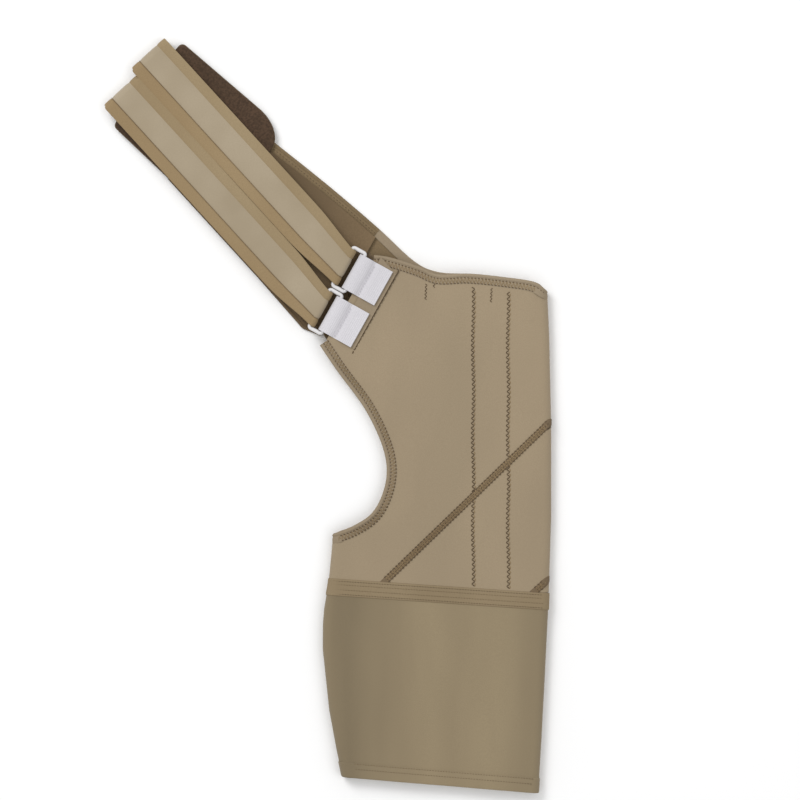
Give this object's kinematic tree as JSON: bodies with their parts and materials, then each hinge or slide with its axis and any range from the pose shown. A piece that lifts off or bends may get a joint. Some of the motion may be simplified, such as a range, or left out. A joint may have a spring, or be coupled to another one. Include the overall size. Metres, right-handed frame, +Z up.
{
  "type": "shoulder compression support",
  "caption": "Neoprene shoulder cap and arm sleeve lying flat, with doubled chest straps that run through rings to a back wing.",
  "frame": {"origin": "centre of the bounding box on the surface that the support lies on", "axes": "+X from the armhole to the outer shoulder fold, +Y from the cuff to the straps, +Z up through the layers"},
  "size_m": [0.3496, 0.5904, 0.0149],
  "materials": {
    "neoprene": "laminated loop-faced neoprene, matt",
    "neoprene_band": "turned hem of the same cloth, stitched, matt",
    "edge_binding": "knitted edge tape, matt",
    "seam_cover": "flat cover stitch in darker thread, matt",
    "stay_plastic": "flat flexible plastic, matt",
    "stay_tape": "woven tape, matt",
    "patch_cloth": "woven reinforcement, matt",
    "white_webbing": "ribbed elastic webbing, matt",
    "strap_satin": "brushed elastic centre, satin",
    "strap_trim": "woven edge of the strap, matt",
    "ring_plastic": "moulded plastic, satin gloss",
    "hook_backing_cloth": "cloth-backed hook end, matt",
    "hook_field_cloth": "dense moulded hooks, matt"
  },
  "bodies": {
    "root": {"upper_panel": "neoprene", "diagonal_panel": "neoprene", "lower_gusset": "neoprene", "upper_diagonal_seam": "seam_cover", "lower_diagonal_seam": "seam_cover", "armhole_binding": "edge_binding", "neck_binding": "edge_binding", "arm_sleeve": "neoprene", "join_band": "neoprene_band", "cuff_band": "neoprene_band", "stay_strip": "stay_plastic", "stay_channel_tape": "stay_tape", "tab_patch": "patch_cloth", "upper_tab": "white_webbing", "lower_tab": "white_webbing"},
    "strap_bundle": {"back_wing": "neoprene", "wing_upper_binding": "edge_binding", "wing_lower_binding": "edge_binding", "strap_anchor_patch": "patch_cloth", "upper_strap": "strap_satin", "upper_strap_left_binding": "strap_trim", "upper_strap_right_binding": "strap_trim", "lower_strap": "strap_satin", "lower_strap_left_binding": "strap_trim", "lower_strap_right_binding": "strap_trim"},
    "upper_ring": {"upper_ring": "ring_plastic"},
    "lower_ring": {"lower_ring": "ring_plastic"},
    "upper_hook_end": {"upper_hook_backing": "hook_backing_cloth", "upper_hook_field": "hook_field_cloth"},
    "lower_hook_end": {"lower_hook_backing": "hook_backing_cloth", "lower_hook_field": "hook_field_cloth"}
  },
  "joints": [
    {"name": "strap_lift", "type": "hinge", "parent": "root", "child": "strap_bundle", "pos_m": [0.0216, 0.11, 0.01095], "axis": [0.4879, 0.8729, 0], "range_deg": [0, 125]},
    {"name": "upper_ring_pivot", "type": "hinge", "parent": "root", "child": "upper_ring", "pos_m": [0.0216, 0.11, 0.01095], "axis": [0.4879, 0.8729, 0], "range_deg": [0, 125]},
    {"name": "lower_ring_pivot", "type": "hinge", "parent": "root", "child": "lower_ring", "pos_m": [0.00335, 0.07735, 0.01095], "axis": [0.4879, 0.8729, 0], "range_deg": [0, 125]},
    {"name": "upper_hook_swing", "type": "hinge", "parent": "strap_bundle", "child": "upper_hook_end", "pos_m": [-0.12155, 0.26162, 0.0042], "axis": [0, 0, 1], "range_deg": [-4, 12]},
    {"name": "lower_hook_swing", "type": "hinge", "parent": "strap_bundle", "child": "lower_hook_end", "pos_m": [-0.14316, 0.23266, 0.0042], "axis": [0, 0, 1], "range_deg": [-12, 4]}
  ],
  "couplings": [
    {"joint": "upper_ring_pivot", "follows": "strap_lift", "ratio": 1},
    {"joint": "lower_ring_pivot", "follows": "strap_lift", "ratio": 1}
  ]
}
